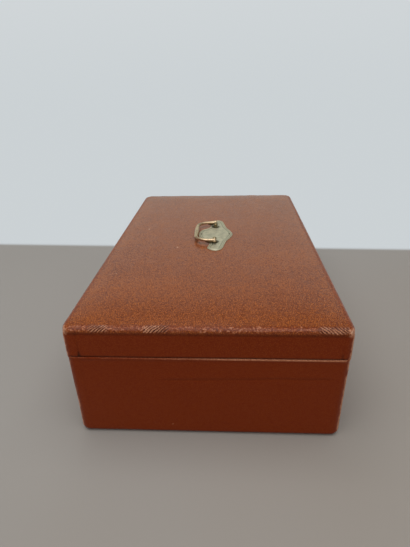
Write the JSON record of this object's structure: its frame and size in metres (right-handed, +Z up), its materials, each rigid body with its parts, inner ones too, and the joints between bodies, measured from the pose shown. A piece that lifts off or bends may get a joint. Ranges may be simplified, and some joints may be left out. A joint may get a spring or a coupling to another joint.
{
  "type": "silverware chest",
  "caption": "Leather-covered silverware chest with a hinged, padded lid, a drop bail on a shaped plate, a cut lock and velvet-lined bays for knives, forks and spoons.",
  "frame": {"origin": "middle of the underside of the baize", "axes": "+Z up, +X towards the near end (the end that faces the picture's camera), -Y the front with the lock, +Y the back with the hinges"},
  "size_m": [0.416, 0.2544, 0.13],
  "materials": {
    "tan_leather": "pebble-grained morocco leather, satin sheen, worn at the edges",
    "carcass_wood": "plain softwood board",
    "green_velvet": "short-pile velvet",
    "ivory_satin": "satin with a soft sheen",
    "green_baize": "felted baize",
    "cotton_wadding": "cotton wadding",
    "pad_card": "stiff card",
    "tarnished_plate": "pale plated brass, worn and slightly tarnished",
    "gilt_brass": "gilt brass, polished by use",
    "hinge_brass": "drawn brass",
    "lock_steel": "bright steel"
  },
  "bodies": {
    "chest": {"base_bottom_board": "carcass_wood", "base_front_board": "carcass_wood", "base_back_board": "carcass_wood", "base_near_end_board": "carcass_wood", "base_far_end_board": "carcass_wood", "base_leather": "tan_leather", "base_sheet": "green_baize", "liner_front": "green_velvet", "liner_back": "green_velvet", "liner_near_end": "green_velvet", "liner_far_end": "green_velvet", "floor_lining": "green_velvet", "partition_cross": "green_velvet", "partition_spoon": "green_velvet", "partition_long": "green_velvet", "knife_handle_comb": "green_velvet", "knife_blade_comb": "green_velvet", "fork_rest": "green_velvet", "spoon_rest": "green_velvet", "lock_case": "lock_steel", "lock_cover": "lock_steel", "lock_screws": "hinge_brass", "escutcheon": "hinge_brass", "escutcheon_pins": "hinge_brass", "hinge_lower_leaf_far": "hinge_brass", "hinge_lower_leaf_near": "hinge_brass", "hinge_pin_far": "hinge_brass", "hinge_pin_near": "hinge_brass", "hinge_screws_lower": "hinge_brass"},
    "lid": {"lid_top_board": "carcass_wood", "lid_front_board": "carcass_wood", "lid_back_board": "carcass_wood", "lid_near_end_board": "carcass_wood", "lid_far_end_board": "carcass_wood", "lid_padding": "cotton_wadding", "lid_leather": "tan_leather", "lid_pad_board": "pad_card", "lid_pad": "ivory_satin", "lid_lining_front": "ivory_satin", "lid_lining_back": "ivory_satin", "lid_lining_near_end": "ivory_satin", "lid_lining_far_end": "ivory_satin", "hinge_upper_leaf_far": "hinge_brass", "hinge_upper_leaf_near": "hinge_brass", "hinge_screws_upper": "hinge_brass", "strike_plate": "hinge_brass", "strike_screws": "hinge_brass", "handle_plate": "tarnished_plate", "handle_plate_pins": "tarnished_plate", "handle_post_far": "gilt_brass", "handle_post_near": "gilt_brass", "handle_washers": "lock_steel", "handle_nuts": "lock_steel"},
    "bail": {"bail": "gilt_brass"},
    "bolt": {"lock_bolt": "lock_steel"}
  },
  "joints": [
    {"name": "lid_hinge", "type": "hinge", "parent": "chest", "child": "lid", "pos_m": [0, 0.126, 0.09], "axis": [-1, 0, 0], "range_deg": [0, 100]},
    {"name": "bail_swing", "type": "hinge", "parent": "lid", "child": "bail", "pos_m": [-0.0085, 0.002, 0.1272], "axis": [-1, 0, 0], "range_deg": [0, 180]},
    {"name": "bolt_slide", "type": "slide", "parent": "chest", "child": "bolt", "axis": [1, 0, 0], "range_m": [0, 0.0035]}
  ]
}
